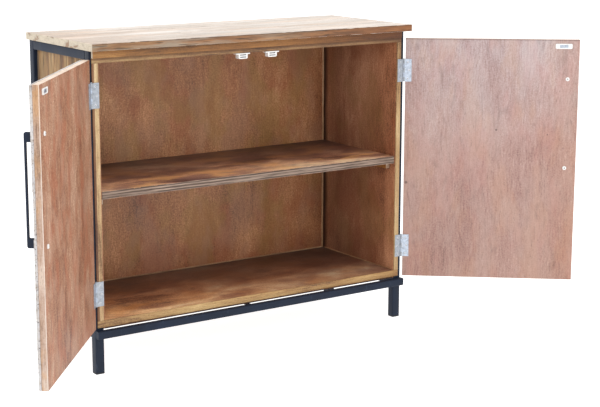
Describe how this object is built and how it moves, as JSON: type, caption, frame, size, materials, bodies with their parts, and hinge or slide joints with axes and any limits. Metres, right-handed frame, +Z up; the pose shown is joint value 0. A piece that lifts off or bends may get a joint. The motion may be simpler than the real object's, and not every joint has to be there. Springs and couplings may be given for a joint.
{
  "type": "sideboard buffet",
  "caption": "Rustic two-door sideboard with a black square-tube steel frame, board top, plywood carcass with one shelf, and doors standing open.",
  "frame": {"origin": "on the floor, below the centre of the bounding box of the sideboard with its doors open as stored", "axes": "+X to the right seen from the front, +Y from the doors towards the back panel, +Z up"},
  "size_m": [1.5384, 0.6664, 0.77],
  "materials": {
    "black_steel": "satin blue-black paint",
    "black_plastic": "matt moulded plastic",
    "top_wood": "pale sanded boards, thin matt lacquer",
    "apron_wood": "golden-brown wood, matt",
    "edge_wood": "pale wood edging, matt",
    "carcass_plywood": "brown-stained plywood, low sheen",
    "door_plywood": "pinkish-brown plywood with a fine vertical grain",
    "door_boards": "weathered reclaimed boards",
    "zinc": "bright zinc plating",
    "white_plastic": "white moulded plastic"
  },
  "bodies": {
    "cabinet": {"back_panel": "carcass_plywood", "bottom_panel": "carcass_plywood", "shelf": "carcass_plywood", "top_board_2": "top_wood", "foot_cap_front_left": "black_plastic", "hinge_upper_left_pin": "zinc", "hinge_upper_right_pin": "zinc", "ceiling_panel": "carcass_plywood", "rail_front": "black_steel", "magnetic_catch_left": "white_plastic", "shelf_cleat_left": "edge_wood", "rail_top_rear": "black_steel", "rail_bottom_rear": "black_steel", "support_lug": "black_steel", "post_front_left": "black_steel", "post_rear_left": "black_steel", "foot_cap_rear_left": "black_plastic", "rail_top_left": "black_steel", "rail_bottom_left": "black_steel", "post_front_right": "black_steel", "foot_cap_front_right": "black_plastic", "post_rear_right": "black_steel", "foot_cap_rear_right": "black_plastic", "rail_top_right": "black_steel", "rail_bottom_right": "black_steel", "top_board_1": "top_wood", "top_board_3": "top_wood", "front_apron": "apron_wood", "side_panel_left": "carcass_plywood", "side_panel_right": "carcass_plywood", "edging_bottom": "edge_wood", "edging_top": "edge_wood", "edging_left": "edge_wood", "edging_right": "edge_wood", "shelf_cleat_right": "edge_wood", "hinge_lower_left_frame_leaf": "zinc", "hinge_lower_left_pin": "zinc", "hinge_upper_left_frame_leaf": "zinc", "magnetic_catch_right": "white_plastic", "hinge_lower_right_frame_leaf": "zinc", "hinge_lower_right_pin": "zinc", "hinge_upper_right_frame_leaf": "zinc"},
    "left_door": {"handle_left": "black_steel", "strike_plate_left": "white_plastic", "door_panel_left": "door_plywood", "door_board_left_1": "door_boards", "door_board_left_2": "door_boards", "door_board_left_3": "door_boards", "door_board_left_4": "door_boards", "hinge_lower_left_door_leaf": "zinc", "hinge_upper_left_door_leaf": "zinc"},
    "right_door": {"handle_right": "black_steel", "door_panel_right": "door_plywood", "door_board_right_1": "door_boards", "door_board_right_2": "door_boards", "door_board_right_3": "door_boards", "door_board_right_4": "door_boards", "strike_plate_right": "white_plastic", "hinge_lower_right_door_leaf": "zinc", "hinge_upper_right_door_leaf": "zinc"}
  },
  "joints": [
    {"name": "left_door_hinge", "type": "hinge", "parent": "cabinet", "child": "left_door", "pos_m": [-0.47142, 0.00634, 0.42], "axis": [0, 0, -1], "range_deg": [-129.4, 50.6]},
    {"name": "right_door_hinge", "type": "hinge", "parent": "cabinet", "child": "right_door", "pos_m": [0.41458, 0.00634, 0.42], "axis": [0, 0, 1], "range_deg": [-140.5, 39.5]}
  ]
}
